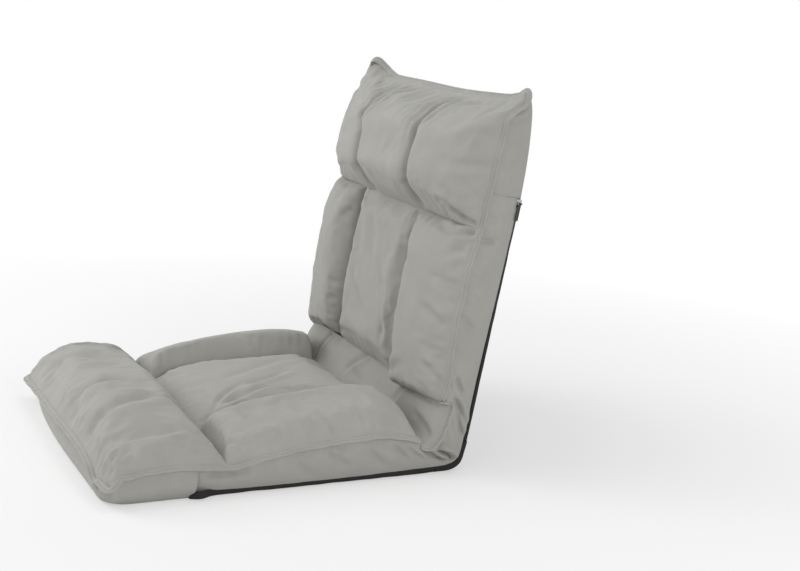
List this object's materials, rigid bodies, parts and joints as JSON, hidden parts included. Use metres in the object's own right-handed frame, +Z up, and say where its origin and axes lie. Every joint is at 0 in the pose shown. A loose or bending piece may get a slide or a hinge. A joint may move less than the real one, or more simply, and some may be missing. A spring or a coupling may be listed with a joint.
{
  "type": "folding floor chair",
  "caption": "Legless folding floor chair: quilted suede-like pads on hinged steel frames, with a ratchet-adjusted backrest that reclines flat.",
  "frame": {"origin": "on the floor, at the middle of the flat dark panel under the seat", "axes": "+X to the sitter's left, -Y to the front of the seat, +Z up"},
  "size_m": [0.5574, 0.6451, 0.5869],
  "materials": {
    "cover_suede": "matte",
    "dark_cloth": "matte",
    "foam": "matte",
    "frame_steel": "satin",
    "zinc_steel": "satin",
    "zipper_metal": "satin",
    "zipper_pull": "satin"
  },
  "bodies": {
    "seat": {"front_roll": "cover_suede", "gear_plate_left": "zinc_steel", "gear_plate_right": "zinc_steel", "hinge_pin_left": "zinc_steel", "hinge_pin_right": "zinc_steel", "seat_bolster_left": "cover_suede", "seat_bolster_right": "cover_suede", "seat_bottom_panel": "dark_cloth", "seat_centre_pad": "cover_suede", "seat_foam": "foam", "seat_frame_tube": "frame_steel", "seat_middle_bar": "frame_steel", "seat_piping": "cover_suede", "seat_rear_bar": "frame_steel", "seat_rivet_1_left": "zinc_steel", "seat_rivet_1_right": "zinc_steel", "seat_rivet_2_left": "zinc_steel", "seat_rivet_2_right": "zinc_steel", "seat_side_band": "cover_suede"},
    "backrest": {"back_bolster_left": "cover_suede", "back_bolster_right": "cover_suede", "back_centre_pad": "cover_suede", "back_foam": "foam", "back_frame_tube": "frame_steel", "back_lower_bar": "frame_steel", "back_middle_bar": "frame_steel", "back_piping": "cover_suede", "back_rear_panel": "dark_cloth", "back_rivet_1_left": "zinc_steel", "back_rivet_1_right": "zinc_steel", "back_rivet_2_left": "zinc_steel", "back_rivet_2_right": "zinc_steel", "back_side_band": "cover_suede", "headrest_roll": "cover_suede", "hinge_cheek_inner_left": "zinc_steel", "hinge_cheek_inner_right": "zinc_steel", "hinge_cheek_outer_left": "zinc_steel", "hinge_cheek_outer_right": "zinc_steel", "hinge_gusset_left": "cover_suede", "hinge_gusset_right": "cover_suede", "hinge_spacer_left": "zinc_steel", "hinge_spacer_right": "zinc_steel", "hinge_wrap": "dark_cloth", "lumbar_roll": "cover_suede", "pawl_pin_left": "zinc_steel", "pawl_pin_right": "zinc_steel", "pawl_spring_left": "zinc_steel", "pawl_spring_right": "zinc_steel", "zipper_chain": "zipper_metal"},
    "pawl_left": {"pawl_left": "zinc_steel"},
    "pawl_right": {"pawl_right": "zinc_steel"},
    "zipper_slider": {"zipper_slider": "zipper_metal"},
    "zipper_pull": {"zipper_pull": "zipper_pull"}
  },
  "joints": [
    {"name": "backrest_recline", "type": "hinge", "parent": "seat", "child": "backrest", "pos_m": [0, 0.2125, 0.02], "axis": [-1, 0, 0], "range_deg": [-32, 80], "deforming": ["lumbar_roll", "hinge_gusset_left", "hinge_gusset_right", "hinge_wrap"]},
    {"name": "pawl_swing_left", "type": "hinge", "parent": "backrest", "child": "pawl_left", "pos_m": [0.2352, 0.22744, 0.03564], "axis": [1, 0, 0], "range_deg": [0, 10]},
    {"name": "pawl_swing_right", "type": "hinge", "parent": "backrest", "child": "pawl_right", "pos_m": [-0.2352, 0.22744, 0.03564], "axis": [1, 0, 0], "range_deg": [0, 10]},
    {"name": "zipper_slide", "type": "slide", "parent": "backrest", "child": "zipper_slider", "axis": [0, -0.1736, -0.9848], "range_m": [0, 0.34]},
    {"name": "zipper_pull_swing", "type": "hinge", "parent": "zipper_slider", "child": "zipper_pull", "pos_m": [0.2623, 0.29668, 0.4093], "axis": [0, -0.9848, 0.1736], "range_deg": [0, 150]}
  ]
}
